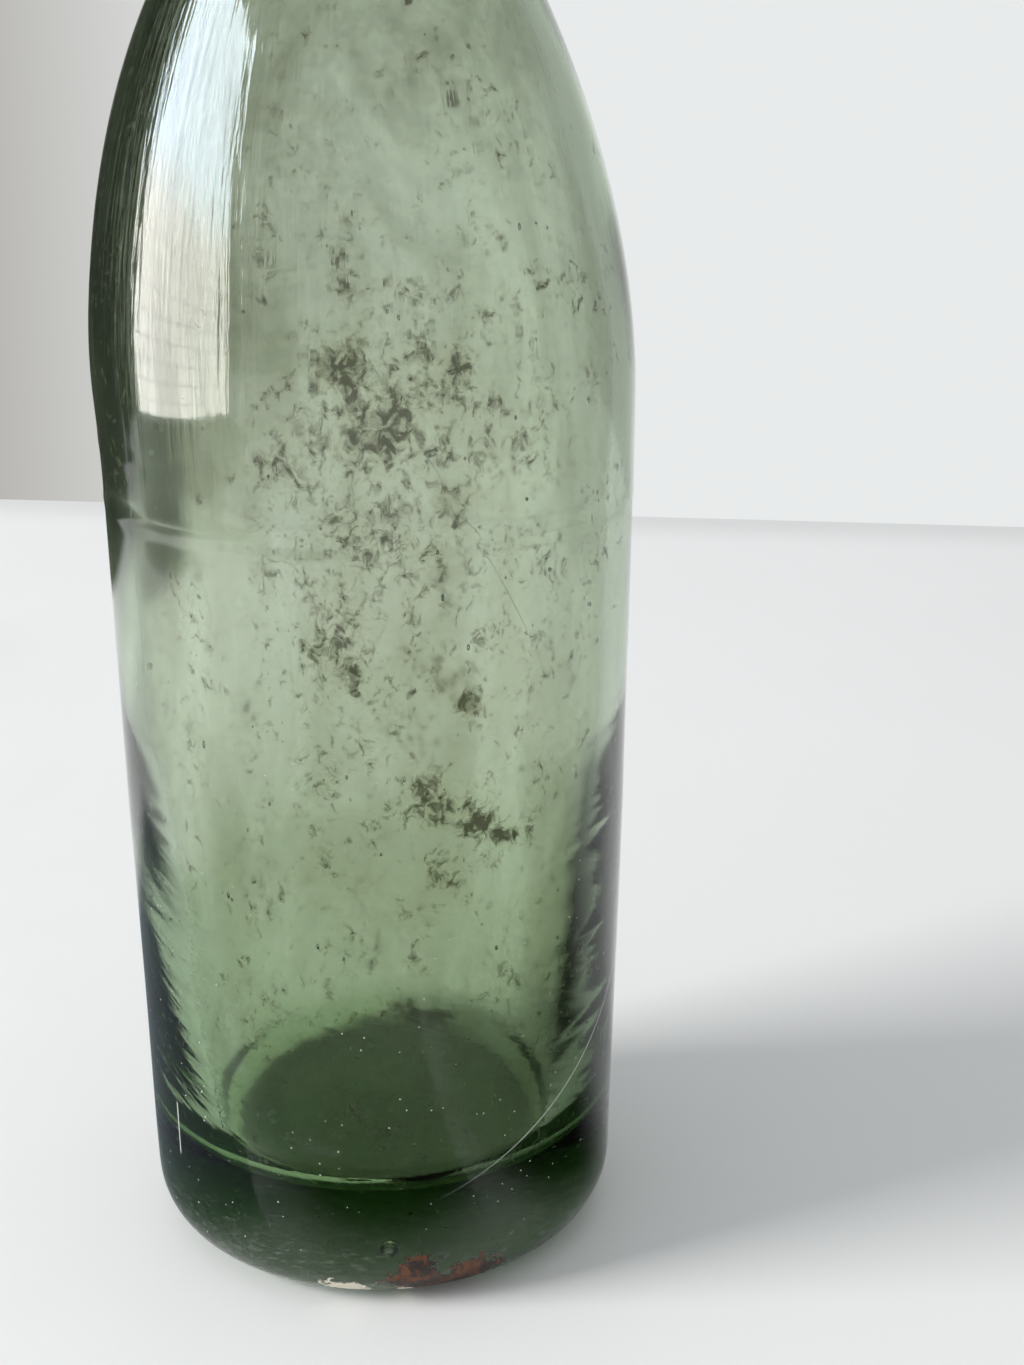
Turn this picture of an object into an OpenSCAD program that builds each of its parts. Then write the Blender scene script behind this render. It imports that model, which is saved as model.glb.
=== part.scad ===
// Old hand-made glass soda bottle with a swing-top closure.
// Millimetres, +Z up. The origin is the centre of the ring that the bottle stands on.
// The closure's hinges all run along X. Its thumb lever is at the front, on -Y, and is shown closed.

/* [Bottle body] */
// Height of the glass, from the standing ring to the top of the lip
glass_h = 248; // [244:1:256]
// Radius of the body just above the heel
heel_body_r = 33.8; // [33:0.1:34.5]
// Radius of the body halfway up its straight part
mid_body_r = 35.1; // [34.6:0.1:35.5]
// Largest radius, where the shoulder begins
shoulder_r = 36; // [35.6:0.1:36.5]
// Height at which the shoulder begins
shoulder_z = 124; // [120:1:126]
// Radius of the rounded heel
heel_round = 8; // [5:0.5:9]
// Radius of the long curve of the shoulder, seen from the side
shoulder_curve = 114; // [112:1:116]
// Angle that the shoulder has turned through where it meets the neck's curve
shoulder_turn = 28; // [27:0.5:28.5]

/* [Glass thickness] */
// Thickness of the wall in the upper body and the shoulder
wall_t = 3.4; // [3:0.1:4]
// Height below which the wall thickens towards the base
thin_wall_z = 78; // [72:1:90]
// Thickness of the base, from the standing ring's plane up to the inner floor
base_t = 14.8; // [12:0.1:16]
// Radius of the flat part of the inner floor
floor_r = 21.3; // [20:0.1:23]
// Radius of the rounded edge between the inner floor and the wall
inner_heel = 5; // [4:0.5:6]
// Depth of the hollow pushed up into the underside
push_up_h = 3; // [2:0.5:5]
// Radius of that hollow at its rim
push_up_r = 21; // [18:0.5:22]

/* [Neck and lip] */
// Radius of the neck where it leaves the shoulder's curve
neck_r = 15.2; // [15:0.1:15.4]
// Radius of the neck just below the wire's groove
neck_top_r = 13.9; // [13.7:0.1:14]
// Radius of the straight bore through the neck
bore_r = 9.2; // [8.8:0.1:9.4]
// Outer radius of the rounded lip
lip_r = 15.1; // [14.8:0.1:15.2]
// Height of the lip, from the groove's centre to the top
lip_h = 14; // [13:0.5:15]

/* [Closure wires] */
// Radius of the wire tied round the neck
neck_wire_r = 1.1; // [1:0.05:1.15]
// Radius of the lever's and the bail's wire
swing_wire_r = 1.25; // [1.1:0.05:1.3]
// Radial clearance of a wire pin in its eye
pin_gap = 0.1; // [0.05:0.01:0.1]
// Distance from the lever's pivot to the bail's pivot on the lever
crank = 12; // [11:0.5:13]
// Angle by which the closed lever lies past the dead centre, so that it stays locked
over_centre = 4; // [2:0.5:6]
// How far out of the side eyes' centre the lever's arms run, along X
lever_arm_x = 18.6; // [18.6:0.1:19]
// How far from the centre the bail's arms run, along X
bail_arm_x = 21.6; // [21.6:0.1:23]

/* [Stopper] */
// Radius of the stopper's skirt
stopper_r = 12.6; // [12:0.1:13]
// Height of the stopper above the gasket
stopper_h = 15; // [14:0.5:17]
// Height of the cross hole above the gasket
cross_hole_h = 6.5; // [6:0.1:7]
// Radius of the stub that carries the gasket
stub_r = 5.5; // [5:0.1:6]
// Radius of the stub's foot, which keeps the gasket on and enters the mouth
foot_r = 7.2; // [6.8:0.1:7.4]
// Thickness of the gasket
gasket_t = 3; // [2.5:0.1:3.2]
// Outer radius of the gasket
gasket_r = 11.6; // [11:0.1:12]

/* [Hidden] */

glass_colour = [0.50, 0.60, 0.47, 0.55];
wire_colour = [0.55, 0.54, 0.51];
porcelain_colour = [0.93, 0.92, 0.88];
rubber_colour = [0.66, 0.24, 0.17];

$fn = 96;
arc_steps = 10;
bend_r = 3;
loose_fit = 0.05;

// A bend is a touch thicker than the straight wire and laps over it at both ends
bend_swell = 0.03;
bend_lap = 4;

// Heights of the parts of the lip
groove_z = glass_h - lip_h;
seat_gap = 0.1;
seat_z = glass_h + seat_gap;
groove_gap = 0.15;
groove_ring_r = 14.5;
groove_half_angle = 60;
lip_under_round = 1.2;
lip_top_round = 2.2;
mouth_round = 1.2;

// Where the straight part of the body is halfway up
mid_body_z = 65;

// The neck's outer curve turns back from the shoulder to the neck's own slight taper
neck_taper = 3;
shoulder_centre_r = shoulder_r - shoulder_curve;
shoulder_end_r = shoulder_centre_r + shoulder_curve * cos(shoulder_turn);
shoulder_end_z = shoulder_z + shoulder_curve * sin(shoulder_turn);
neck_curve = (shoulder_end_r - neck_r) / (cos(neck_taper) - cos(shoulder_turn));

// The inner surface keeps the wall's thickness round the shoulder and then runs into the bore
inner_curve = shoulder_curve - wall_t;
inner_end_r = shoulder_centre_r + inner_curve * cos(shoulder_turn);
inner_end_z = shoulder_z + inner_curve * sin(shoulder_turn);
bore_curve = (inner_end_r - bore_r) / (1 - cos(shoulder_turn));
bore_start_z = inner_end_z + bore_curve * sin(shoulder_turn);
body_slope = (shoulder_r - mid_body_r) / (shoulder_z - mid_body_z);
thin_wall_r = mid_body_r + body_slope * (thin_wall_z - mid_body_z) - wall_t;

// The side eyes of the neck wire hang just under the groove and carry the lever
eye_bore_r = swing_wire_r + pin_gap;
eye_ring_r = eye_bore_r + neck_wire_r;
eye_x = 15.9;
eye_drop = 2.9;
pivot_z = groove_z - eye_drop;
lever_pin_x = 14.7;

// The bail's pivot lies a crank's length below the lever's pivot, a little past the dead centre
bail_pivot = [0, crank * sin(over_centre), pivot_z - crank * cos(over_centre)];
cross_hole = [0, 0, seat_z + gasket_t + cross_hole_h];
bail_reach = cross_hole - bail_pivot;
bail_len = norm(bail_reach);
bail_lean = atan2(bail_reach.y, bail_reach.z);
bail_pin_x = 17;
lever_eye_ring_r = eye_bore_r + swing_wire_r;

// Points round part of a circle, from angle a to angle b
function arc(centre, r, a, b, steps = arc_steps) =
    [for (i = [0:steps]) centre + r * [cos(a + (b - a) * i / steps), sin(a + (b - a) * i / steps)]];

function unit(v) = v / norm(v);

// A direction at right angles to d
function across(d) = abs(d.z) < 0.9 ? unit(cross(d, [0, 0, 1])) : unit(cross(d, [1, 0, 0]));

// Quantities of the rounded corner of a wire at point i: directions in and out, turn and cut-back
function way_in(p, i) = unit(p[i] - p[i - 1]);
function way_out(p, i) = unit(p[i + 1] - p[i]);
function turn(p, i) = acos(way_in(p, i) * way_out(p, i));
function cut(p, i) = bend_r * tan(turn(p, i) / 2);
function leave(p, i) = i == 0 ? p[0] : p[i] + way_out(p, i) * cut(p, i);
function arrive(p, i) = i == len(p) - 1 ? p[i] : p[i] - way_in(p, i) * cut(p, i);

// Places its children with their X, Y and Z along three given directions
module frame(origin, x, y, z) {
    multmatrix([
        [x.x, y.x, z.x, origin.x],
        [x.y, y.y, z.y, origin.y],
        [x.z, y.z, z.z, origin.z],
        [0, 0, 0, 1]
    ]) children();
}

// A straight piece of round wire from a to b
module rod(a, b, r) {
    z = unit(b - a);
    x = across(z);
    frame(a, x, cross(z, x), z) cylinder(r = r, h = norm(b - a), $fn = 32);
}

// The bend of a wire at corner i of its path
module bend(p, i, r) {
    inward = unit(way_out(p, i) - way_in(p, i) * (way_in(p, i) * way_out(p, i)));
    start = arrive(p, i);
    centre = start + inward * bend_r;
    frame(centre, -inward, way_in(p, i), cross(-inward, way_in(p, i)))
        rotate(-bend_lap) rotate_extrude(angle = turn(p, i) + 2 * bend_lap)
            translate([bend_r, 0]) circle(r = r + bend_swell, $fn = 32);
}

// A round wire along a path of corners, each bent to the same radius
module wire(p, r) {
    for (i = [0:len(p) - 2]) rod(leave(p, i), arrive(p, i + 1), r);
    for (i = [1:len(p) - 2]) bend(p, i, r);
}

// A ring of round wire whose axis is along X
module eye(centre, ring_r, r) {
    translate(centre) rotate([0, 90, 0]) rotate_extrude() translate([ring_r, 0]) circle(r = r, $fn = 32);
}

function mirrored(p) = [for (i = [len(p) - 1:-1:0]) [-p[i].x, p[i].y, p[i].z]];

// Outside of the glass, from the middle of the underside up to the top of the lip
function outer_profile() =
    let (dome = (push_up_r * push_up_r + push_up_h * push_up_h) / (2 * push_up_h))
    concat(
        arc([0, push_up_h - dome], dome, 90, 90 - asin(push_up_r / dome)),
        arc([heel_body_r - heel_round, heel_round], heel_round, -90, 0),
        [[mid_body_r, mid_body_z]],
        arc([shoulder_centre_r, shoulder_z], shoulder_curve, 0, shoulder_turn),
        arc([neck_r + neck_curve * cos(neck_taper), shoulder_end_z + neck_curve * sin(shoulder_turn)],
            neck_curve, 180 + shoulder_turn - 1, 180 + neck_taper),
        [[neck_top_r, groove_z - (neck_wire_r + groove_gap) * sin(groove_half_angle) - 0.4]],
        arc([groove_ring_r, groove_z], neck_wire_r + groove_gap,
            180 + groove_half_angle, 180 - groove_half_angle),
        arc([lip_r - lip_under_round, groove_z + 1.1 + lip_under_round], lip_under_round, -90, 0, 5),
        arc([lip_r - lip_top_round, glass_h - lip_top_round], lip_top_round, 0, 90, 6)
    );

// Inside of the glass, from the mouth down to the middle of the floor
function inner_profile() =
    concat(
        arc([bore_r + mouth_round, glass_h - mouth_round], mouth_round, 90, 180, 5),
        arc([bore_r + bore_curve, bore_start_z], bore_curve, 180, 180 + shoulder_turn),
        arc([shoulder_centre_r, shoulder_z], inner_curve, shoulder_turn - 1, 0),
        [[thin_wall_r, thin_wall_z]],
        arc([floor_r, base_t + inner_heel], inner_heel, 0, -90),
        [[0, base_t + 1]]
    );

module glass_bottle() {
    color(glass_colour) rotate_extrude($fn = 128) polygon(concat(outer_profile(), inner_profile()));
}

// One wire tied round the groove, with an eye at each side and its twisted end tucked down at the back
module neck_wire() {
    tail_y = groove_ring_r + neck_wire_r;
    color(wire_colour) {
        translate([0, 0, groove_z])
            rotate_extrude() translate([groove_ring_r, 0]) circle(r = neck_wire_r, $fn = 32);
        for (side = [-1, 1]) eye([side * eye_x, 0, pivot_z], eye_ring_r, neck_wire_r);
        rod([0, tail_y, groove_z + 0.4], [0, tail_y + 1.2, groove_z - 8], 1.5 * neck_wire_r);
    }
}

// Half of the lever's path, from its pin in the neck wire's eye to the thumb loop at the front
function lever_arm() = [
    [lever_pin_x, 0, pivot_z],
    [lever_arm_x, 0, pivot_z],
    [lever_arm_x, bail_pivot.y, bail_pivot.z],
    [lever_arm_x - 0.6, -4, pivot_z - 20],
    [15.5, -18, pivot_z - 30],
    [9, -26, pivot_z - 38]
];

module lever_wire() {
    arm = lever_arm();
    upper = [arm[0], arm[1], arm[2] + [0, 0, lever_eye_ring_r]];
    lower = [for (i = [3:len(arm) - 1]) arm[i]];
    loop = concat([arm[2] - [0, 0, lever_eye_ring_r]], lower);
    color(wire_colour) {
        wire(concat(loop, mirrored(loop)), swing_wire_r);
        for (side = [1, -1]) {
            wire(side > 0 ? upper : mirrored(upper), swing_wire_r);
            eye([side * arm[2].x, arm[2].y, arm[2].z], lever_eye_ring_r, swing_wire_r);
        }
    }
}

// Half of the bail's path, from its pin in the lever's eye up to the bar through the stopper
function bail_arm() = [
    [bail_pin_x, 0, 0],
    [bail_arm_x, 0, 0],
    [bail_arm_x, 0, bail_len - 14],
    [17, 0, bail_len]
];

module bail_wire() {
    arm = bail_arm();
    color(wire_colour)
        translate(bail_pivot) rotate([-bail_lean, 0, 0]) wire(concat(arm, mirrored(arm)), swing_wire_r);
}

// Outline of the porcelain stopper, measured up from the gasket's top
function stopper_profile() =
    concat(
        [
            [0, -gasket_t - 2.4],
            [foot_r - 1.4, -gasket_t - 2.4],
            [foot_r, -gasket_t - 1.2],
            [foot_r, -gasket_t - loose_fit],
            [stub_r, -gasket_t - loose_fit],
            [stub_r, 0]
        ],
        arc([stopper_r - 1.2, 1.2], 1.2, -90, 0, 5),
        [[stopper_r - 0.3, 4]],
        arc([stopper_r - 5.4, stopper_h - 5.2], 5.2, 15, 90),
        [[0, stopper_h]]
    );

module stopper() {
    color(porcelain_colour)
        difference() {
            translate([0, 0, seat_z + gasket_t]) rotate_extrude() polygon(stopper_profile());
            translate(cross_hole) rotate([0, 90, 0])
                cylinder(r = eye_bore_r, h = 3 * stopper_r, center = true, $fn = 48);
        }
}

// Flat rubber ring on the stopper's stub, with rounded edges
module gasket() {
    edge = 0.8;
    color(rubber_colour)
        translate([0, 0, seat_z]) rotate_extrude()
            polygon(concat(
                [[stub_r + loose_fit, 0]],
                arc([gasket_r - edge, edge], edge, -90, 0, 5),
                arc([gasket_r - edge, gasket_t - loose_fit - edge], edge, 0, 90, 5),
                [[stub_r + loose_fit, gasket_t - loose_fit]]
            ));
}

glass_bottle();
neck_wire();
lever_wire();
bail_wire();
stopper();
gasket();
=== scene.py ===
"""Looks of the old glass soda bottle with its swing-top closure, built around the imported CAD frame.

Everything is in metres in the CAD frame: +Z up, origin at the centre of the standing ring, front on -Y.
"""
import math

import bpy
import numpy as np
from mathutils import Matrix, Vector


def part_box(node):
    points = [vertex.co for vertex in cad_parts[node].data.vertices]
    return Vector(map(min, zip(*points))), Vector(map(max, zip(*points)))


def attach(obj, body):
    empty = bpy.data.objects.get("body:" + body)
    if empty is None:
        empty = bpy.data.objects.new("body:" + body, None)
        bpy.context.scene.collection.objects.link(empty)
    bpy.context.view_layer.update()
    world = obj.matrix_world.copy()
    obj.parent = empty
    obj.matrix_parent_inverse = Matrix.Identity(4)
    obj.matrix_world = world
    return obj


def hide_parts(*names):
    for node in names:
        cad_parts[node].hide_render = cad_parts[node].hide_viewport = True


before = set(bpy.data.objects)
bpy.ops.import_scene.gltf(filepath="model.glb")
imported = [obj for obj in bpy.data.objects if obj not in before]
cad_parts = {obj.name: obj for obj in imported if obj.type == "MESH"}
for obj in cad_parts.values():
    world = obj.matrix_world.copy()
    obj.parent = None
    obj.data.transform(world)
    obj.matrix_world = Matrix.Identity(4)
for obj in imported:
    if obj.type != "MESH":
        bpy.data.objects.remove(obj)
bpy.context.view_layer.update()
MM = 0.001

# ---------------------------------------------------------------- camera, nodes, floor, light

# The camera stands in front of the bottle and above its foot, looks down, and pans to the bottle's right
CAMERA_BACK = 0.2818
CAMERA_UP = 0.1766
CAMERA_TILT = 18.86
CAMERA_PAN = 3.92
CAMERA_LENS = 55.65


def make_camera():
    data = bpy.data.cameras.new("camera")
    data.lens = CAMERA_LENS
    data.sensor_width = 36
    data.clip_start = 0.01
    camera = bpy.data.objects.new("camera", data)
    camera.location = (0, -CAMERA_BACK, CAMERA_UP)
    camera.rotation_euler = (math.radians(90 - CAMERA_TILT), 0, math.radians(-CAMERA_PAN))
    bpy.context.scene.collection.objects.link(camera)
    bpy.context.scene.camera = camera


class Nodes:
    """A short way to write node trees: each call makes one node, and links or sets its inputs by name."""

    def __init__(self, tree):
        self.tree = tree
        tree.nodes.clear()

    def add(self, kind, inputs=None, **settings):
        node = self.tree.nodes.new(kind)
        for name, value in settings.items():
            setattr(node, name, value)
        for name, value in (inputs or {}).items():
            self.put(node.inputs[name], value)
        return node

    def put(self, socket, value):
        if isinstance(value, bpy.types.NodeSocket):
            self.tree.links.new(value, socket)
        else:
            socket.default_value = value

    def math(self, operation, a, b=0.0, clamp=False):
        return self.add("ShaderNodeMath", {0: a, 1: b}, operation=operation, use_clamp=clamp).outputs[0]

    def times(self, *values):
        """The product of all the values."""
        product = values[0]
        for value in values[1:]:
            product = self.math("MULTIPLY", product, value)
        return product

    def plus(self, *values):
        """The sum of all the values."""
        total = values[0]
        for value in values[1:]:
            total = self.math("ADD", total, value)
        return total

    def minus(self, a, b):
        return self.math("SUBTRACT", a, b)

    def most(self, a, b):
        return self.math("MAXIMUM", a, b)

    def size(self, value):
        return self.math("ABSOLUTE", value)

    def ramp(self, value, low, high, to_low=0.0, to_high=1.0):
        """Smooth step from to_low to to_high as value goes from low to high."""
        inputs = {"Value": value, "From Min": low, "From Max": high, "To Min": to_low, "To Max": to_high}
        return self.add("ShaderNodeMapRange", inputs, interpolation_type="SMOOTHSTEP").outputs[0]

    def mix(self, factor, a, b):
        node = self.add("ShaderNodeMix", data_type="RGBA")
        self.put(node.inputs[0], factor)
        self.put(node.inputs[6], a)
        self.put(node.inputs[7], b)
        return node.outputs[2]

    def split(self, vector):
        return list(self.add("ShaderNodeSeparateXYZ", {0: vector}).outputs)

    def join(self, x, z):
        return self.add("ShaderNodeCombineXYZ", {0: x, 1: 0.0, 2: z}).outputs[0]

    def stretch(self, vector, scale):
        return self.add("ShaderNodeMapping", {"Vector": vector, "Scale": scale}).outputs[0]

    def noise(self, vector, scale, detail=3.0, roughness=0.55, distortion=0.0):
        inputs = {"Vector": vector, "Scale": scale, "Detail": detail,
                  "Roughness": roughness, "Distortion": distortion}
        return self.add("ShaderNodeTexNoise", inputs).outputs[0]

    def cell_edges(self, vector, scale):
        inputs = {"Vector": vector, "Scale": scale}
        return self.add("ShaderNodeTexVoronoi", inputs, feature="DISTANCE_TO_EDGE").outputs[0]

    def bump(self, height, strength, distance):
        inputs = {"Strength": strength, "Distance": distance, "Height": height}
        return self.add("ShaderNodeBump", inputs).outputs[0]

    def finish(self, inputs, volume=None):
        """The material's one shader, with its inputs, and its output."""
        shader = self.add("ShaderNodeBsdfPrincipled", inputs)
        output = self.add("ShaderNodeOutputMaterial", {"Surface": shader.outputs[0]})
        if volume is not None:
            self.put(output.inputs["Volume"], volume)


def make_world():
    """A plain studio surround: brightest ahead, duller overhead, at the sides and behind the camera."""
    world = bpy.data.worlds.new("studio")
    bpy.context.scene.world = world
    world.use_nodes = True
    n = Nodes(world.node_tree)
    direction = n.add("ShaderNodeTexCoord").outputs["Generated"]
    x, y, z = n.split(direction)
    ahead = n.mix(n.ramp(x, -0.24, 0.0), (0.40, 0.385, 0.355, 1), (0.81, 0.83, 0.83, 1))
    ahead = n.mix(n.ramp(x, 0.31, 0.55), ahead, (0.50, 0.51, 0.505, 1))
    ahead = n.mix(n.ramp(x, -0.28, -0.42), ahead, (0.52, 0.52, 0.51, 1))
    behind = n.mix(n.ramp(x, -0.6, 0.6), (0.50, 0.505, 0.505, 1), (0.55, 0.56, 0.56, 1))
    colour = n.mix(n.ramp(y, -0.25, 0.35), behind, ahead)
    colour = n.mix(n.ramp(z, 0.25, 0.8), colour, (0.60, 0.61, 0.62, 1))
    background = n.add("ShaderNodeBackground", {"Color": colour, "Strength": 1.0})
    n.add("ShaderNodeOutputWorld", {"Surface": background.outputs[0]})


ALL_RAYS = ("camera", "diffuse", "shadow", "glossy", "transmission")
# The rays by which the glass sees a stage panel
REFLECTED, REFRACTED = ("glossy",), ("transmission",)
ALL_GLASS_RAYS = REFLECTED + REFRACTED


def quad(name, corners, material, rays=ALL_RAYS):
    """A flat stage panel that is seen only by the rays that are named."""
    mesh = bpy.data.meshes.new(name)
    mesh.from_pydata(corners, [], [(0, 1, 2, 3)])
    mesh.materials.append(material)
    panel = bpy.data.objects.new(name, mesh)
    bpy.context.scene.collection.objects.link(panel)
    for ray in ALL_RAYS:
        setattr(panel, "visible_" + ray, ray in rays)
    return panel


def new_material(name):
    material = bpy.data.materials.new(name)
    material.use_nodes = True
    return material, Nodes(material.node_tree)


def make_floor():
    """A white table top, whose far edge slants a little and lies behind the bottle, with painted shade along
    that edge.
    """
    left, right, near, far, slant = -0.9, 1.2, -1.3, 0.42, -0.18
    edge_shade_width = 0.035
    z = -0.15 * MM
    material, n = new_material("table_white")
    where = n.add("ShaderNodeNewGeometry").outputs["Position"]
    x, y = n.split(where)[:2]
    tone = n.ramp(n.noise(where, 3.0), 0.3, 0.7)
    colour = n.mix(tone, (0.82, 0.83, 0.835, 1), (0.85, 0.86, 0.865, 1))
    # Painted shade: the table top turns darker towards its far edge.
    to_edge = n.minus(n.plus(far, n.times(x, slant)), y)
    colour = n.mix(n.ramp(to_edge, edge_shade_width, 0.0, 0.0, 0.28), colour, (0.40, 0.41, 0.41, 1))
    rough = n.ramp(n.noise(where, 60.0), 0.3, 0.7, 0.50, 0.60)
    n.finish({"Base Color": colour, "Roughness": rough, "Specular IOR Level": 0.25})
    far_left, far_right = far + slant * left, far + slant * right
    quad("table", [(left, near, z), (right, near, z), (right, far_right, z), (left, far_left, z)], material)


def make_daylight():
    """A large far light at the left, as from a window, which casts the soft shadow."""
    data = bpy.data.lights.new("window_daylight", "AREA")
    data.shape = "RECTANGLE"
    data.size, data.size_y = 0.8, 0.9
    data.energy = 52.0
    data.color = (1.0, 0.99, 0.97)
    light = bpy.data.objects.new("window_daylight", data)
    light.location = (-1.9, -0.42, 0.95)
    aimed_at = Vector((0, 0, 0.05))
    light.rotation_euler = (aimed_at - light.location).to_track_quat("-Z", "Y").to_euler()
    light.visible_camera = light.visible_glossy = light.visible_transmission = False
    bpy.context.scene.collection.objects.link(light)


def make_window_pane():
    """The bright window that the glass reflects, behind a thin curtain and with faint bars."""
    x, near, far, low, high = -0.52, -0.35, 0.12, 0.005, 0.62
    material, n = new_material("window_pane")
    where = n.add("ShaderNodeTexCoord").outputs["Object"]
    y, z = n.split(where)[1:]
    rows = n.size(n.math("SINE", n.times(z, 130)))
    columns = n.size(n.math("SINE", n.times(y, 150)))
    grid = n.times(n.ramp(rows, 0.0, 0.22, 0.6, 1), n.ramp(columns, 0.0, 0.2, 0.65, 1))
    sheer = n.mix(n.ramp(z, 0.2, 0.32), (0.80, 0.78, 0.73, 1), (0.78, 0.90, 1.0, 1))
    streak = n.ramp(n.noise(n.stretch(where, (1, 26, 1.2)), 3.0), 0.35, 0.6, 0.62, 1)
    strength = n.times(grid, streak, n.ramp(z, 0.0, 0.34, 15.5, 19.5))
    glow = n.add("ShaderNodeEmission", {"Color": sheer, "Strength": strength})
    n.add("ShaderNodeOutputMaterial", {"Surface": glow.outputs[0]})
    quad("window_pane", [(x, near, low), (x, far, low), (x, far, high), (x, near, high)], material, REFLECTED)


# Dark tone of the flag cards, also used for the painted shadow card
DARK_FLAG_AND_SHADOW = (0.03, 0.03, 0.027, 1)
GREY_FLAG = (0.10, 0.10, 0.095, 1)
BLUE_FLAG = (0.17, 0.20, 0.225, 1)
# Grey tone of the painted shade card on the table at the left
PAINTED_SHADE_GREY = (0.45, 0.46, 0.45, 1)
DOORWAY_H = 0.45


def flat_corners(left, right, near, far):
    return [(left, near, 0.0), (right, near, 0.0), (right, far, 0.0), (left, far, 0.0)]


def upright_corners(left, near, right, far):
    return [(left, near, 0.0), (right, far, 0.0), (right, far, DOORWAY_H), (left, near, DOORWAY_H)]


def flag_card(name, tone, rays, corners, soft):
    """A card that is seen only in reflections or through the glass, from its upper or front side.

    soft is the share of the card over which its left, right, near and far edges fade.
    """
    soft_left, soft_right, soft_near, soft_far = soft
    material, n = new_material(name)
    u, v = n.split(n.add("ShaderNodeTexCoord").outputs["UV"])[:2]
    edge = n.times(n.ramp(u, 0.0, soft_left), n.ramp(u, 1.0, 1.0 - soft_right))
    edge = n.times(edge, n.times(n.ramp(v, 0.0, soft_near), n.ramp(v, 1.0, 1.0 - soft_far)))
    front = n.minus(1.0, n.add("ShaderNodeNewGeometry").outputs["Backfacing"])
    shade = n.add("ShaderNodeBsdfDiffuse", {"Color": tone}).outputs[0]
    nothing = n.add("ShaderNodeBsdfTransparent").outputs[0]
    both = n.add("ShaderNodeMixShader", {0: n.times(edge, front), 1: nothing, 2: shade})
    n.add("ShaderNodeOutputMaterial", {"Surface": both.outputs[0]})
    card = quad(name, corners, material, rays)
    layer = card.data.uv_layers.new(name="UVMap")
    for loop, place in zip(layer.data, ((0, 0), (1, 0), (1, 1), (0, 1))):
        loop.uv = place


def make_cards():
    """The dark surfaces of a room, seen only in the glass, which give it its dark rims and its dull foot, and
    two cards of painted shade on the table, seen only through the glass: a dark one right of and behind the
    bottle is the bottle's painted shadow, and a grey one at its left is a painted shade.
    """
    # Corners of the painted shadow of the bottle on the table, to its right and behind it
    painted_shadow_corners = [(0.034, -0.045, 0.0), (0.25, -0.045, 0.0), (0.25, 0.115, 0.0), (0.074, 0.115, 0.0)]
    cards = (
        ("dark_doorway", DARK_FLAG_AND_SHADOW, ALL_GLASS_RAYS,
         upright_corners(-0.40, 0.20, -0.088, 0.31), (0.08, 0.08, 0.02, 0.15)),
        ("doorway_jamb", DARK_FLAG_AND_SHADOW, REFLECTED,
         upright_corners(-0.53, 0.125, -0.39, 0.20), (0.02, 0.02, 0.02, 0.15)),
        ("sill_left", GREY_FLAG, REFLECTED,
         flat_corners(-0.52, -0.36, -0.35, 0.15), (0.1, 0.1, 0.02, 0.1)),
        ("flag_in_front", DARK_FLAG_AND_SHADOW, REFLECTED,
         flat_corners(-0.24, 0.24, -0.30, -0.038), (0.2, 0.2, 0.02, 0.08)),
        ("flag_at_left", BLUE_FLAG, REFLECTED,
         flat_corners(-0.17, -0.02, -0.12, 0.12), (0.15, 0.15, 0.02, 0.15)),
        ("flag_at_right", DARK_FLAG_AND_SHADOW, REFLECTED,
         flat_corners(0.03, 0.22, -0.14, 0.02), (0.1, 0.1, 0.02, 0.2)),
        # Painted shadow: the bottle's shadow on the table, seen only through the glass
        ("painted_shadow_right", DARK_FLAG_AND_SHADOW, REFRACTED, painted_shadow_corners, (0.1, 0.65, 0.25, 0.65)),
        # Painted shade: a grey patch on the table at the left, seen only through the glass
        ("painted_shade_left", PAINTED_SHADE_GREY, REFRACTED,
         flat_corners(-0.40, -0.09, 0.03, 0.22), (0.2, 0.2, 0.1, 0.3)),
    )
    for card in cards:
        flag_card(*card)


# ---------------------------------------------------------------- the glass

# The bottle's own sizes in millimetres, as in the CAD source
GLASS_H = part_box("glass_bottle")[1].z / MM
SHOULDER_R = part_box("glass_bottle")[1].x / MM
HEEL_BODY_R, MID_BODY_R, MID_BODY_Z = 33.8, 35.1, 65.0
SHOULDER_Z, SHOULDER_CURVE, SHOULDER_TURN = 124.0, 114.0, 28.0
HEEL_ROUND, PUSH_UP_H, PUSH_UP_R = 8.0, 3.0, 21.0
WALL_T, THIN_WALL_Z, BASE_T, FLOOR_R, INNER_HEEL = 3.4, 78.0, 14.8, 21.3, 5.0
NECK_R, NECK_TAPER, NECK_TOP_R, BORE_R = 15.2, 3.0, 13.9, 9.2
GROOVE_Z, GROOVE_RING_R, GROOVE_ROUND = GLASS_H - 14.0, 14.5, 1.25
LIP_R, LIP_UNDER_ROUND, LIP_TOP_ROUND, MOUTH_ROUND = 15.1, 1.2, 2.2, 1.2
AROUND = 224
# The middle of the wall, from the axis
MIDDLE_R = 34.0


def arc(centre, radius, start, end, steps=16):
    turns = np.radians(np.linspace(start, end, steps + 1))
    return [(centre[0] + radius * math.cos(t), centre[1] + radius * math.sin(t)) for t in turns]


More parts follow.
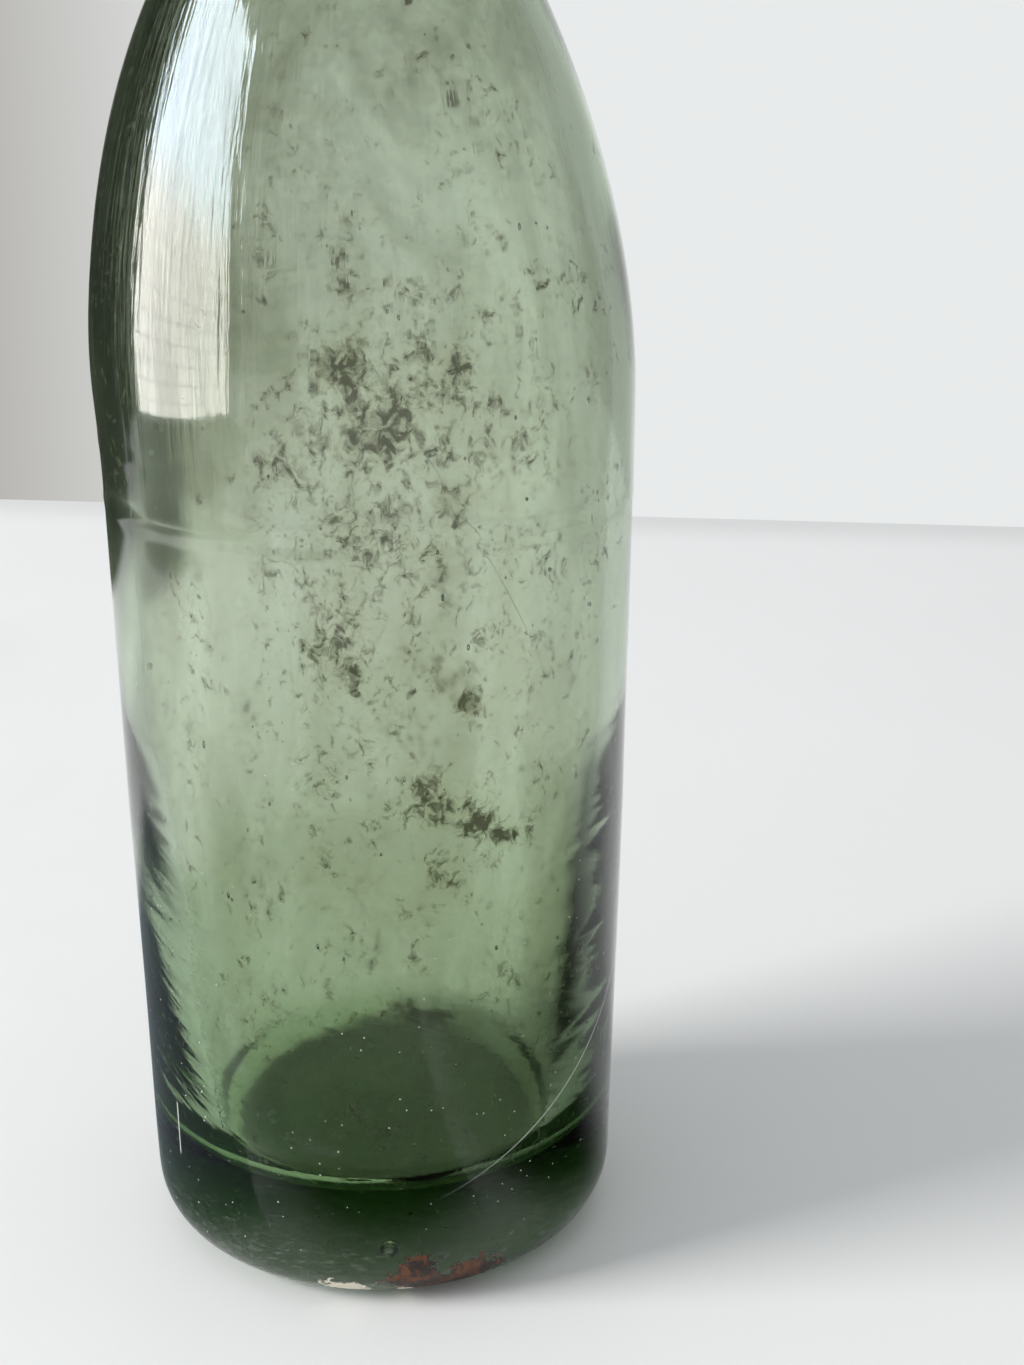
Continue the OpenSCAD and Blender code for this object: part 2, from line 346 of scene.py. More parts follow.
def glass_profile():
    """Outside and inside outlines as (radius, height) points, in millimetres."""
    dome = (PUSH_UP_R ** 2 + PUSH_UP_H ** 2) / (2 * PUSH_UP_H)
    turn = math.radians(SHOULDER_TURN)
    curve_r = SHOULDER_R - SHOULDER_CURVE
    shoulder_end_r = curve_r + SHOULDER_CURVE * math.cos(turn)
    shoulder_end_z = SHOULDER_Z + SHOULDER_CURVE * math.sin(turn)
    neck_curve = (shoulder_end_r - NECK_R) / (math.cos(math.radians(NECK_TAPER)) - math.cos(turn))
    neck_centre_r = NECK_R + neck_curve * math.cos(math.radians(NECK_TAPER))
    neck_centre = (neck_centre_r, shoulder_end_z + neck_curve * math.sin(turn))
    outside = (
        arc((0, PUSH_UP_H - dome), dome, 90, 90 - math.degrees(math.asin(PUSH_UP_R / dome)))
        + arc((HEEL_BODY_R - HEEL_ROUND, HEEL_ROUND), HEEL_ROUND, -90, 0)
        + [(MID_BODY_R, MID_BODY_Z)]
        + arc((curve_r, SHOULDER_Z), SHOULDER_CURVE, 0, SHOULDER_TURN, 30)
        + arc(neck_centre, neck_curve, 179 + SHOULDER_TURN, 180 + NECK_TAPER, 20)
        + [(NECK_TOP_R, GROOVE_Z - 1.5)]
        + arc((GROOVE_RING_R, GROOVE_Z), GROOVE_ROUND, 240, 120, 10)
        + arc((LIP_R - LIP_UNDER_ROUND, GROOVE_Z + 1.1 + LIP_UNDER_ROUND), LIP_UNDER_ROUND, -90, 0, 8)
        + arc((LIP_R - LIP_TOP_ROUND, GLASS_H - LIP_TOP_ROUND), LIP_TOP_ROUND, 0, 90, 10)
    )
    inner_curve = SHOULDER_CURVE - WALL_T
    inner_end_r = curve_r + inner_curve * math.cos(turn)
    bore_curve = (inner_end_r - BORE_R) / (1 - math.cos(turn))
    bore_start_z = SHOULDER_Z + inner_curve * math.sin(turn) + bore_curve * math.sin(turn)
    body_slope = (SHOULDER_R - MID_BODY_R) / (SHOULDER_Z - MID_BODY_Z)
    thin_wall_r = MID_BODY_R + body_slope * (THIN_WALL_Z - MID_BODY_Z) - WALL_T
    inside = (
        arc((BORE_R + MOUTH_ROUND, GLASS_H - MOUTH_ROUND), MOUTH_ROUND, 90, 180, 8)
        + arc((BORE_R + bore_curve, bore_start_z), bore_curve, 180, 180 + SHOULDER_TURN, 24)
        + arc((curve_r, SHOULDER_Z), inner_curve, SHOULDER_TURN - 1, 0, 30)
        + [(thin_wall_r, THIN_WALL_Z)]
        + arc((FLOOR_R, BASE_T + INNER_HEEL), INNER_HEEL, 0, -90, 12)
        + [(0, BASE_T + 1.0)]
    )
    return np.array(outside), np.array(inside)


def respaced(points, step, passes):
    """The same line with points at even spacing, its creases eased by so many passes."""
    gaps = np.linalg.norm(np.diff(points, axis=0), axis=1)
    points = points[np.concatenate([[True], gaps > 1e-6])]
    along = np.concatenate([[0], np.cumsum(np.linalg.norm(np.diff(points, axis=0), axis=1))])
    fine = np.linspace(0, along[-1], int(along[-1] / step) + 2)
    out = np.stack([np.interp(fine, along, points[:, k]) for k in range(points.shape[1])], 1)
    for _ in range(passes):
        out[1:-1] = 0.25 * out[:-2] + 0.5 * out[1:-1] + 0.25 * out[2:]
    return out


def fade(value, low, high):
    """Smooth step from 0 at low to 1 at high."""
    t = np.clip((value - low) / (high - low), 0, 1)
    return t * t * (3 - 2 * t)


def bell(value, centre, width):
    return np.exp(-((value - centre) / width) ** 2)


def waves(turn, z, seed, strength, longest, shortest, count=14):
    """A smooth random swell over the bottle's wall, which closes on itself round the axis."""
    random = np.random.default_rng(seed)
    total = np.zeros_like(z)
    for _ in range(count):
        length = math.exp(random.uniform(math.log(shortest), math.log(longest)))
        around = random.integers(0, max(2, int(2 * math.pi * MIDDLE_R / length)) + 1)
        upward = 2 * math.pi * z / length * random.uniform(0.3, 1)
        total += length * np.sin(around * turn + upward + random.uniform(0, 6.3))
    return strength * total / np.sqrt(count / 2) / (0.5 * (longest + shortest))


def hand_made(turn, z, inside):
    """Shifts of radius and of X that make the plain turned shape a hand-blown one, in millimetres."""
    body = fade(z, 6, 20) * (1 - fade(z, 185, 222))
    left = np.clip(-np.cos(turn), 0, 1) ** 2
    swell = np.where(inside, waves(turn, z, 7, 0.07, 60, 20), waves(turn, z, 3, 0.03, 70, 26))
    slope = z - 7 * np.sin(turn + 1.2)
    unsteady = 2.6 * np.sin(slope * 0.31) + 1.9 * np.sin(slope * 0.57 + 2) + 2 * np.sin(turn * 2)
    drag = np.sin(slope * 1.5 + unsteady)
    drag = drag * (0.55 + 0.45 * np.sin(slope * 0.43 + 1))
    drag = drag * fade(z, 14, 26) * (1 - fade(z, 66, 88))
    drag = drag * (np.clip(np.cos(turn), 0, 1) ** 3 + 0.35 * left)
    mould_line = bell(z + 0.8 * np.sin(turn), 109, 0.8) + 0.6 * bell(z, 117, 0.8) * left
    grow = body * (swell + np.where(inside, 0.05 * drag, 0.10 * mould_line + 0.35 * left * bell(z, 127, 11)))
    lean = -1.6 * fade(z, 112, 172) * (1 - fade(z, 178, 222))
    return grow, lean


def new_mesh_object(name, vertices, faces):
    mesh = bpy.data.meshes.new(name)
    mesh.from_pydata([tuple(v) for v in vertices], [], faces)
    mesh.validate()
    mesh.polygons.foreach_set("use_smooth", [True] * len(mesh.polygons))
    made = bpy.data.objects.new(name, mesh)
    bpy.context.scene.collection.objects.link(made)
    return made


def lathe(rings):
    """Vertices and faces of a closed turned shape: rings[0] and rings[-1] are single points on the axis."""
    around = len(rings[1])
    points = np.concatenate([rings[0]] + list(rings[1:-1]) + [rings[-1]])
    last = len(points) - 1
    faces = [(0, 1 + (j + 1) % around, 1 + j) for j in range(around)]
    for i in range(len(rings) - 3):
        a, b = 1 + i * around, 1 + (i + 1) * around
        faces += [(a + j, a + (j + 1) % around, b + (j + 1) % around, b + j) for j in range(around)]
    a = last - around
    faces += [(last, a + j, a + (j + 1) % around) for j in range(around)]
    return points, faces


def glass_wall():
    """The bottle's closed surface: up the outside, over the lip, and down the inside to the floor."""
    outside, inside = glass_profile()
    outside, inside = respaced(outside, 0.9, 3), respaced(inside, 0.9, 12)
    profile = np.concatenate([outside, inside])
    is_inside = np.concatenate([np.zeros(len(outside), bool), np.ones(len(inside), bool)])
    turns = np.linspace(0, 2 * math.pi, AROUND, endpoint=False)
    turn = np.broadcast_to(turns, (len(profile) - 2, AROUND))
    radius = np.repeat(profile[1:-1, :1], AROUND, 1)
    z = np.repeat(profile[1:-1, 1:], AROUND, 1)
    inner = np.repeat(is_inside[1:-1, None], AROUND, 1)
    grow, lean = hand_made(turn, z, inner)
    radius = radius + grow * fade(radius, 2, 24)
    rings = np.stack([radius * np.cos(turn) + lean, radius * np.sin(turn), z], -1)
    points, faces = lathe([np.array([[0, 0, profile[0, 1]]]), *rings, np.array([[0, 0, profile[-1, 1]]])])
    return points, faces, np.concatenate([[0], inner.reshape(-1).astype(float), [1]])


def egg(centre, size, up, steps=8):
    """A small bubble, turned inside out because it is a hollow in the glass. size is (across, along)."""
    side = np.cross(up, (0.3, 0.5, 0.8))
    side = side / np.linalg.norm(side)
    other = np.cross(up, side)
    points, faces = [], []
    for i in range(1, steps // 2):
        tilt = math.pi * i / (steps // 2)
        for j in range(steps):
            spin = 2 * math.pi * j / steps
            flat = math.sin(tilt) * (math.cos(spin) * side + math.sin(spin) * other)
            points.append(centre + size[0] * flat + size[1] * math.cos(tilt) * up)
    points += [centre + size[1] * up, centre - size[1] * up]
    top, bottom, rows = len(points) - 2, len(points) - 1, steps // 2 - 1
    for j in range(steps):
        k = (j + 1) % steps
        faces.append((top, k, j))
        faces.append((bottom, (rows - 1) * steps + j, (rows - 1) * steps + k))
        for i in range(rows - 1):
            faces.append((i * steps + j, i * steps + k, (i + 1) * steps + k, (i + 1) * steps + j))
    return np.array(points), faces


# The outermost seeds lie so far from the axis, just inside the glass
SEED_R = 33.2


def bubbles():
    """Seeds scattered through the wall and the base, and one round bubble low at the front."""
    random = np.random.default_rng(11)
    found = [(np.array([0.2, -31.7, 9.6]), (1.25, 1.25), 24)]
    for _ in range(320):
        turn = random.uniform(0, 2 * math.pi)
        z = random.uniform(24, 150)
        radius = SEED_R - random.uniform(0, 1.4) - max(0.0, z - 130) ** 2 * 0.005
        across = 0.06 + 0.18 * random.uniform(0, 1) ** 2
        place = np.array([radius * math.cos(turn), radius * math.sin(turn), z])
        found.append((place, (across, across * random.uniform(1, 2.6)), 8))
    for _ in range(70):
        turn, radius = random.uniform(0, 2 * math.pi), 22 * math.sqrt(random.uniform(0, 1))
        across = random.uniform(0.06, 0.22)
        place = np.array([radius * math.cos(turn), radius * math.sin(turn), random.uniform(5, 13.5)])
        found.append((place, (across, across * random.uniform(0.8, 1.3)), 8))
    return found


# Marks on the glass in millimetres: (x, height, half width, half height, strength)
INNER_DEPOSIT = (
    (-3.5, 131, 4.5, 4.0, 1.0), (9, 130, 3.5, 3.5, 0.95), (2, 124, 13, 9, 0.75), (-9, 119, 5, 4.0, 0.6),
    (9, 115, 4, 3.5, 0.65), (2, 109, 11, 7, 0.5), (-3, 98, 5, 9, 0.6), (7, 99, 9, 8, 0.32),
    (11, 88, 2.2, 2.0, 1.0), (-4, 85, 5, 9, 0.35), (5.8, 77, 2.4, 3.2, 0.9), (8.5, 74, 3.2, 2.8, 1.05),
    (12, 71.5, 3.2, 2.0, 1.1), (15, 69, 2.4, 1.2, 1.1), (7.5, 64.5, 2.8, 3.2, 0.75), (4, 61, 7, 3.5, 0.4),
)
RUST = (
    (7, 2.4, 5.5, 2.6, 1.0), (11.5, 4.2, 4.5, 2.2, 0.85), (4.5, 6.5, 2.6, 2.2, 0.8), (2, 4.5, 2.4, 1.6, 0.7),
)
LIME = ((-5.5, 3.0, 3.2, 1.4, 1.0), (2.4, 1.6, 1.3, 1.3, 1.0), (-9, 4, 2, 1.5, 0.4))


def marks(points, blots, facing):
    """How strongly each point of the front wall is covered by a list of marks."""
    x, y, z = points.T
    total = np.zeros(len(points))
    for at_x, at_z, half_w, half_h, strength in blots:
        total = np.maximum(total, strength * bell(x, at_x, half_w) * bell(z, at_z, half_h))
    return total * np.where(y < 0, 1.0, 0.55) * facing


def set_attribute(mesh, name, values):
    attribute = mesh.attributes.new(name, "FLOAT", "POINT")
    attribute.data.foreach_set("value", values.astype(np.float32))


def scratch_lines(n, x, y, z):
    """One long curved scratch low on the right of the front, and a short upright cut on its left."""
    front = n.math("ARCTAN2", x, n.times(y, -1.0))
    past = n.minus(front, 0.24)
    rise = n.plus(n.times(past, 0.014), n.times(n.math("POWER", past, 2.0), 0.0073))
    away = n.size(n.minus(n.minus(z, 0.018), rise))
    long_scratch = n.times(n.ramp(away, 0.00016, 0.00005), n.ramp(front, 0.15, 0.95, 0.0, 0.9))
    from_cut, from_middle = n.size(n.plus(front, 1.02)), n.size(n.minus(z, 0.021))
    short_cut = n.times(n.ramp(from_cut, 0.006, 0.002), n.ramp(from_middle, 0.0045, 0.0035))
    return n.most(long_scratch, n.times(short_cut, 0.6))


def glass_relief(n, x, y, z):
    """Upright drawing lines in the shoulder, mostly on the left, and slanting drag lines low down."""
    spin = n.math("ARCTAN2", y, x)
    upright = n.join(n.times(spin, MIDDLE_R), n.times(z, 60))
    slant = n.join(n.times(spin, 3.0), n.times(n.plus(z, n.times(spin, 0.012)), 420))
    drawn = n.times(n.noise(upright, 1.0, 3, 0.5, 0.4), n.ramp(z, 0.105, 0.15))
    drawn = n.times(drawn, n.ramp(x, -0.004, -0.02, 0.15, 1.0))
    dragged = n.times(n.noise(slant, 1.0, 2, 0.5, 0.3), n.ramp(z, 0.09, 0.03))
    return n.bump(n.plus(n.times(drawn, 0.42), n.times(dragged, 0.18)), 0.5, 0.0004)


def glass_material():
    material, n = new_material("old_green_glass")
    where = n.add("ShaderNodeTexCoord").outputs["Object"]
    x, y, z = n.split(where)
    inside, deposit, rust, lime, underside = [
        n.add("ShaderNodeAttribute", attribute_name=name).outputs["Fac"]
        for name in ("inside", "deposit", "rust", "lime", "underside")]
    outside = n.minus(1.0, inside)

    # Dried deposit inside: flecks in clusters and in a thin scatter, stain, a milky film in patches, grain
    stretched = n.stretch(where, (1, 1, 0.8))
    fine = n.noise(stretched, 620, 3, 0.68, 0.6)
    broad = n.noise(stretched, 150, 3, 0.6, 0.5)
    grit = n.plus(n.times(fine, 0.62), n.times(broad, 0.38), n.times(deposit, 0.17))
    flecks = n.times(n.ramp(grit, 0.56, 0.71), inside)
    stained = n.plus(n.times(n.plus(broad, fine), 0.5), n.times(deposit, 0.35))
    stain = n.times(n.ramp(stained, 0.44, 0.85), inside)
    film_map = n.noise(n.stretch(where, (1, 1, 0.35)), 60, 4, 0.62, 0.8)
    film = n.times(n.ramp(film_map, 0.36, 0.66), inside, n.ramp(z, 0.014, 0.06, 0.35, 1.0))
    grain = n.times(n.ramp(n.noise(where, 380, 3, 0.7), 0.36, 0.64), inside)

    # Outside: dust, scratches, scuffs on the heel, rust and lime at the foot, and the worn underside
    dust_cells = n.add("ShaderNodeTexVoronoi", {"Vector": where, "Scale": 640}).outputs["Distance"]
    dust = n.times(n.ramp(dust_cells, 0.10, 0.04, 0.0, 0.8), n.ramp(broad, 0.44, 0.56))
    dust = n.times(dust, outside, n.ramp(z, 0.14, 0.03))
    dust = n.most(dust, n.times(scratch_lines(n, x, y, z), outside))
    scuffed = n.ramp(n.noise(n.stretch(where, (1, 1, 3.0)), 620, 4, 0.75), 0.50, 0.72, 0.0, 0.12)
    dust = n.most(dust, n.times(scuffed, outside, n.ramp(z, 0.016, 0.005)))
    rust_mask = n.ramp(n.plus(fine, n.times(rust, 0.6)), 0.64, 0.80)
    rust_mask = n.times(rust_mask, outside, n.ramp(rust, 0.02, 0.1))
    lime_mask = n.ramp(n.plus(fine, n.times(lime, 0.6)), 0.72, 0.84)
    lime_mask = n.times(lime_mask, outside, n.ramp(lime, 0.02, 0.1))
    worn = n.times(underside, n.ramp(broad, 0.3, 0.6, 0.75, 1.0))

    film_tone = n.mix(n.ramp(z, 0.10, 0.15), (0.665, 0.675, 0.57, 1), (0.355, 0.375, 0.30, 1))
    grain_tone = n.mix(film, (0.86, 0.86, 0.78, 1), (0.70, 0.70, 0.58, 1))
    rust_tone = n.mix(n.ramp(fine, 0.47, 0.64), (0.022, 0.010, 0.005, 1), (0.15, 0.046, 0.010, 1))
    inner_tone = n.mix(n.ramp(z, 0.015, 0.15), (0.94, 0.94, 0.90, 1), (0.74, 0.76, 0.72, 1))
    colour = n.mix(film, n.mix(inside, (1, 1, 1, 1), inner_tone), film_tone)
    colour = n.mix(n.times(grain, 0.4), colour, grain_tone)
    colour = n.mix(n.times(stain, 0.75), colour, (0.50, 0.46, 0.30, 1))
    colour = n.mix(flecks, colour, (0.10, 0.09, 0.05, 1))
    colour = n.mix(dust, colour, (0.62, 0.64, 0.56, 1))
    colour = n.mix(n.ramp(rust_mask, 0.0, 0.15), colour, rust_tone)
    colour = n.mix(n.ramp(lime_mask, 0.0, 0.3), colour, (0.72, 0.66, 0.54, 1))
    colour = n.mix(worn, colour, (0.86, 0.92, 0.80, 1))

    covered = n.most(n.most(dust, worn), n.most(rust_mask, lime_mask))
    clear = n.times(n.minus(1.0, n.times(film, 0.07)), n.minus(1.0, n.times(flecks, 0.55)))
    clear = n.times(clear, n.minus(1.0, n.times(covered, 0.95)))
    rough = n.plus(n.times(inside, 0.03), n.times(film, 0.09), n.times(flecks, 0.3), n.times(covered, 0.5))
    rough = n.plus(rough, n.times(outside, n.ramp(film_map, 0.4, 0.7, 0.02, 0.07)))
    absorb = n.add("ShaderNodeVolumeAbsorption", {"Color": (0.20, 0.46, 0.06, 1), "Density": 74.0})
    shader_inputs = {"Base Color": colour, "Roughness": rough, "IOR": 1.5, "Transmission Weight": clear,
                     "Normal": glass_relief(n, x, y, z)}
    n.finish(shader_inputs, absorb.outputs[0])
    return material


def make_bottle():
    points, faces, inside = glass_wall()
    wall_count = len(points)
    for place, size, steps in bubbles():
        more, more_faces = egg(place, size, np.array([0.0, 0.0, 1.0]), steps)
        faces += [tuple(len(points) + v for v in face) for face in more_faces]
        points = np.concatenate([points, more])
    bottle = new_mesh_object("glass_body", points * MM, faces)
    inside = np.concatenate([inside, np.zeros(len(points) - wall_count)])
    set_attribute(bottle.data, "inside", inside)
    set_attribute(bottle.data, "deposit", marks(points, INNER_DEPOSIT, inside))
    set_attribute(bottle.data, "rust", marks(points, RUST, 1 - inside))
    set_attribute(bottle.data, "lime", marks(points, LIME, 1 - inside))
    from_axis, height = np.hypot(points[:, 0], points[:, 1]), points[:, 2]
    below = (1 - fade(from_axis, 26, 29)) * (1 - fade(height, PUSH_UP_H, PUSH_UP_H + 0.6))
    set_attribute(bottle.data, "underside", (1 - inside) * below)
    bottle.data.materials.append(glass_material())
    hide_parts("glass_bottle")
    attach(bottle, "bottle")


# ---------------------------------------------------------------- the closure

PIVOT = np.array([0.0, 0.0, GROOVE_Z - 2.9])
CRANK, OVER_CENTRE = 12.0, math.radians(4.0)
BAIL_PIVOT = np.array([0.0, CRANK * math.sin(OVER_CENTRE), PIVOT[2] - CRANK * math.cos(OVER_CENTRE)])
NECK_WIRE_R, SWING_WIRE_R = 1.1, 1.25
EYE_R, COIL_R = 2.5, 2.6
LEVER_PIN_X, LEVER_ARM_X = 14.7, 18.8
BAIL_PIN_X, BAIL_ARM_X, BAIL_BAR_X, BAIL_BEND_DROP = 15.7, 21.6, 17.0, 14.0
SEAT_Z = GLASS_H + 0.1
GASKET_T, GASKET_R, STUB_R = 3.0, 11.6, 5.5
CROSS_HOLE = np.array([0.0, 0.0, SEAT_Z + GASKET_T + 6.5])


def coil(centre, radius, start, end, x_start, x_end, steps=30):
    """Points of a wire wound round an axis along X, from angle start to end (0 is +Y, 90 is up)."""
    turn = np.radians(np.linspace(start, end, steps))
    x = np.linspace(x_start, x_end, steps)
    return np.stack([x, centre[1] + radius * np.cos(turn), centre[2] + radius * np.sin(turn)], 1)


def rounded(points, bend):
    """A path whose corners are rounded off, starting the bend so far from each corner."""
    points = [np.array(p, float) for p in points]
    out = [points[0]]
    for before, corner, after in zip(points, points[1:], points[2:]):
        to_before, to_after = before - corner, after - corner
        a = corner + to_before * min(0.5, bend / np.linalg.norm(to_before))
        b = corner + to_after * min(0.5, bend / np.linalg.norm(to_after))
        for t in np.linspace(0, 1, 9):
            out.append((1 - t) ** 2 * a + 2 * t * (1 - t) * corner + t ** 2 * b)
    return np.array(out + [points[-1]])


def mirrored(path):
    return (path * [-1, 1, 1])[::-1]


def wire(name, path, radius, body, node, material, sides=16):
    """A round drawn wire along a path in millimetres, with rounded cut ends and small hand-bent wobbles."""
    path = respaced(path, 0.45, 8)
    random = np.random.default_rng(len(path))
    along = np.arange(len(path))[:, None] * 0.45
    for _ in range(4):
        swing = random.uniform(-1, 1, (1, 3)) * 0.05
        path = path + swing * np.sin(2 * math.pi * along / random.uniform(9, 25) + random.uniform(0, 6.3))
    heading = np.gradient(path, axis=0)
    heading /= np.linalg.norm(heading, axis=1)[:, None]
    side = np.cross(heading[0], (0.21, 0.35, 0.91))
    rings = []
    caps = [(-math.sin(a), math.cos(a)) for a in np.radians((75, 50, 25))]
    stations = [(path[0], heading[0], *c) for c in caps]
    stations += [(p, h, 0.0, 1.0) for p, h in zip(path, heading)]
    stations += [(path[-1], heading[-1], -c[0], c[1]) for c in reversed(caps)]
    spin = np.linspace(0, 2 * math.pi, sides, endpoint=False)
    for place, ahead, shift, scale in stations:
        side = side - ahead * np.dot(side, ahead)
        side /= np.linalg.norm(side)
        other = np.cross(ahead, side)
        circle = np.cos(spin)[:, None] * side + np.sin(spin)[:, None] * other
        rings.append(place + ahead * shift * radius * 0.6 + circle * radius * scale)
    first = (path[0] - heading[0] * radius * 0.62)[None]
    last = (path[-1] + heading[-1] * radius * 0.62)[None]
    points, faces = lathe([first, *rings, last])
    piece = new_mesh_object(name, points * MM, faces)
    piece.data.materials.append(material)
    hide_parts(node)
    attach(piece, body)


def neck_wire_path():
    """The tie: up one strand at the back, round each side with an eye wound in it, down the other strand."""
    ring = []
    for theta in np.radians(np.linspace(14, 76, 20)):
        ring.append((GROOVE_RING_R * math.sin(theta), GROOVE_RING_R * math.cos(theta), GROOVE_Z))
    eye = coil(PIVOT, EYE_R, 92, 448, 16.1, 15.35, 36)
    front = []
    for theta in np.radians(np.linspace(106, 180, 24)):
        front.append((GROOVE_RING_R * math.sin(theta), GROOVE_RING_R * math.cos(theta), GROOVE_Z))
    half = np.concatenate([ring, eye, front])
    tails = []
    for phase in (0, math.pi):
        drop = np.linspace(0, 8.6, 30)
        turn = phase + drop * 1.15
        x, y = 1.12 * np.cos(turn), GROOVE_RING_R + 2.0 + 0.1 * drop + np.sin(turn)
        tails.append(np.stack([x, y, GROOVE_Z - 0.6 - drop], 1))
    return np.concatenate([tails[0][::-1], half, mirrored(half)[1:], tails[1]])


def lever_path():
    """From one pin in the neck wire's eye, down, round a coil for the bail, and out to the thumb loop."""
    corner = (LEVER_ARM_X + 0.05, 0, PIVOT[2])
    coil_top = (LEVER_ARM_X, BAIL_PIVOT[1] + COIL_R, BAIL_PIVOT[2] + 1)
    upper = rounded([(LEVER_PIN_X, 0, PIVOT[2]), corner, coil_top], 2.6)
    eye = coil(BAIL_PIVOT, COIL_R, 0, -391, LEVER_ARM_X, 16.4, 44)
    loop = rounded([eye[-1], (17.9, -4.5, PIVOT[2] - 20), (15.5, -18, PIVOT[2] - 30), (9, -26, PIVOT[2] - 38),
                    (0, -26.3, PIVOT[2] - 38.3)], 7.5)
    half = np.concatenate([upper, eye, loop[1:]])
    return np.concatenate([half, mirrored(half)[1:]])


def bail_path():
    """From one pin in the lever's coil, up past the lip, through the stopper, and back down."""
    reach = CROSS_HOLE - BAIL_PIVOT
    length = np.linalg.norm(reach)
    lean = math.atan2(reach[1], reach[2])
    arm = rounded([(BAIL_PIN_X, 0, 0), (BAIL_ARM_X, 0, 0), (BAIL_ARM_X, 0, length - BAIL_BEND_DROP),
                   (BAIL_BAR_X, 0, length), (0, 0, length)], 4.0)
    flat = np.concatenate([arm, mirrored(arm)[1:]])
    y = flat[:, 1] * math.cos(lean) + flat[:, 2] * math.sin(lean)
    z = flat[:, 2] * math.cos(lean) - flat[:, 1] * math.sin(lean)
    return np.stack([flat[:, 0], y, z], 1) + BAIL_PIVOT


def wire_material():
    material, n = new_material("dull_galvanised_wire")
    where = n.add("ShaderNodeTexCoord").outputs["Object"]
    spangle = n.noise(where, 700, 4, 0.6)
    patches = n.noise(where, 130, 5, 0.62, 0.5)
    rust = n.ramp(n.plus(n.times(patches, 0.7), n.times(spangle, 0.3)), 0.49, 0.60)
    zinc = n.mix(n.ramp(spangle, 0.35, 0.65), (0.20, 0.195, 0.18, 1), (0.40, 0.395, 0.37, 1))
    pitting = n.ramp(n.noise(where, 1500, 3), 0.35, 0.65)
    oxide = n.mix(pitting, (0.055, 0.022, 0.010, 1), (0.20, 0.075, 0.026, 1))
    height = n.plus(n.times(n.noise(where, 2200, 3), rust), n.times(spangle, 0.3))
    n.finish({"Base Color": n.mix(rust, zinc, oxide), "Metallic": n.minus(0.9, n.times(rust, 0.85)),
              "Roughness": n.ramp(rust, 0, 1, 0.40, 0.85), "Normal": n.bump(height, 0.6, 0.00012)})
    return material


def porcelain_material():
    material, n = new_material("glazed_porcelain")
    where = n.add("ShaderNodeTexCoord").outputs["Object"]
    x, z = n.split(where)[::2]
    skirt_z, hole_z = (SEAT_Z + GASKET_T) * MM, CROSS_HOLE[2] * MM
    crazing = n.ramp(n.cell_edges(where, 330.0), 0.045, 0.012)
    crazing = n.times(crazing, n.ramp(n.noise(where, 120, 3), 0.42, 0.6))
    grime = n.ramp(n.noise(where, 210, 5, 0.65), 0.5, 0.68)
    low = n.ramp(z, skirt_z + 0.0024, skirt_z + 0.0001)
    hole = n.times(n.ramp(n.size(n.minus(z, hole_z)), 0.0042, 0.0018), n.ramp(n.size(x), 0.0075, 0.0115))
    stain = n.times(n.most(low, hole), n.ramp(n.noise(where, 420, 4), 0.38, 0.62, 0.35, 0.95))
    tone = n.ramp(n.noise(where, 70, 3), 0.35, 0.65)
    colour = n.mix(tone, (0.74, 0.72, 0.64, 1), (0.82, 0.81, 0.76, 1))
    colour = n.mix(n.times(crazing, 0.55), colour, (0.34, 0.26, 0.16, 1))
    colour = n.mix(n.times(grime, 0.38), colour, (0.40, 0.33, 0.22, 1))
    colour = n.mix(stain, colour, (0.26, 0.125, 0.055, 1))
    rough = n.ramp(n.most(grime, stain), 0, 1, 0.12, 0.5)
    height = n.minus(n.times(n.noise(where, 160, 2), 0.5), n.times(crazing, 0.12))
    n.finish({"Base Color": colour, "Roughness": rough, "IOR": 1.5, "Coat Weight": 0.5, "Coat Roughness": 0.08,
              "Normal": n.bump(height, 0.35, 0.0004)})
    return material


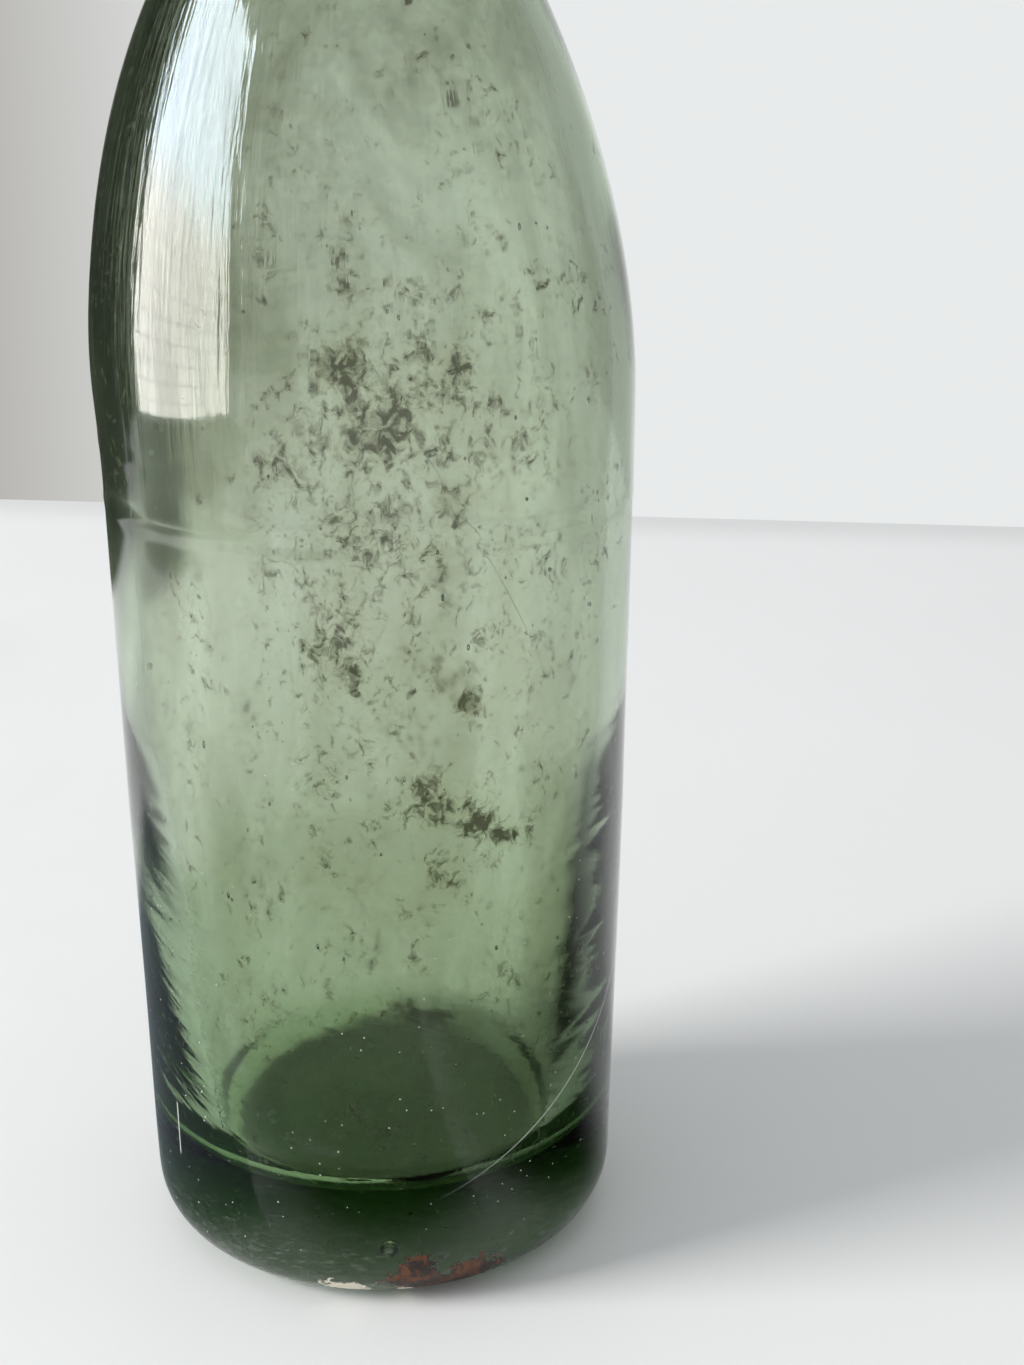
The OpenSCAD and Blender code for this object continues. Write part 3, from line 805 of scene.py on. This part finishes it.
def rubber_material():
    material, n = new_material("perished_red_rubber")
    where = n.add("ShaderNodeTexCoord").outputs["Object"]
    bloom = n.ramp(n.noise(where, 260, 5, 0.65), 0.45, 0.7)
    crack = n.ramp(n.cell_edges(where, 900.0), 0.10, 0.02)
    crack = n.times(crack, n.ramp(n.noise(where, 300, 3), 0.42, 0.58))
    tone = n.ramp(n.noise(where, 120, 3), 0.35, 0.65)
    colour = n.mix(tone, (0.30, 0.052, 0.026, 1), (0.42, 0.095, 0.045, 1))
    colour = n.mix(n.times(bloom, 0.45), colour, (0.48, 0.27, 0.19, 1))
    colour = n.mix(n.times(crack, 0.8), colour, (0.07, 0.018, 0.012, 1))
    height = n.minus(n.times(n.noise(where, 1500, 3), 0.3), crack)
    n.finish({"Base Color": colour, "Roughness": n.ramp(bloom, 0, 1, 0.62, 0.9),
              "Normal": n.bump(height, 0.7, 0.00015)})
    return material


def make_gasket():
    """The rubber ring, squashed a little uneven, with a compression groove where the lip presses into it."""
    around, section = 120, 36
    spin = np.linspace(0, 2 * math.pi, around, endpoint=False)
    inner_r = STUB_R + 0.05
    middle, half_w, half_h = (inner_r + GASKET_R) / 2, (GASKET_R - inner_r) / 2, GASKET_T / 2 - 0.03
    points, faces = [], []
    for s in spin:
        for t in np.linspace(0, 2 * math.pi, section, endpoint=False):
            across = math.copysign(abs(math.cos(t)) ** 0.35, math.cos(t))
            up = math.copysign(abs(math.sin(t)) ** 0.35, math.sin(t))
            bulge = 0.10 * math.sin(3 * s + 1) + 0.06 * math.sin(7 * s) if across > 0 else 0.0
            r = middle + across * (half_w + bulge * (1 - up * up) - 0.12 * (across > 0))
            pressed = 0.16 * float(bell(r, 10.6, 1.0)) * (up < 0)
            points.append((r * math.cos(s), r * math.sin(s), SEAT_Z + GASKET_T / 2 + up * half_h + pressed))
    for i in range(around):
        for j in range(section):
            k, m = (i + 1) % around, (j + 1) % section
            faces.append((i * section + j, k * section + j, k * section + m, i * section + m))
    gasket = new_mesh_object("rubber_ring", np.array(points) * MM, faces)
    gasket.data.materials.append(rubber_material())
    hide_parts("gasket")
    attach(gasket, "cap")


def make_closure():
    metal = wire_material()
    wire("neck_tie_wire", neck_wire_path(), NECK_WIRE_R, "bottle", "neck_wire", metal)
    wire("thumb_lever", lever_path(), SWING_WIRE_R, "lever", "lever_wire", metal)
    wire("bail_loop", bail_path(), SWING_WIRE_R, "bail", "bail_wire", metal)
    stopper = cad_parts["stopper"]
    stopper.data.materials.clear()
    stopper.data.materials.append(porcelain_material())
    make_gasket()


bpy.context.scene.view_settings.view_transform = "Standard"
make_camera()
make_world()
make_floor()
make_daylight()
make_window_pane()
make_cards()
make_bottle()
make_closure()
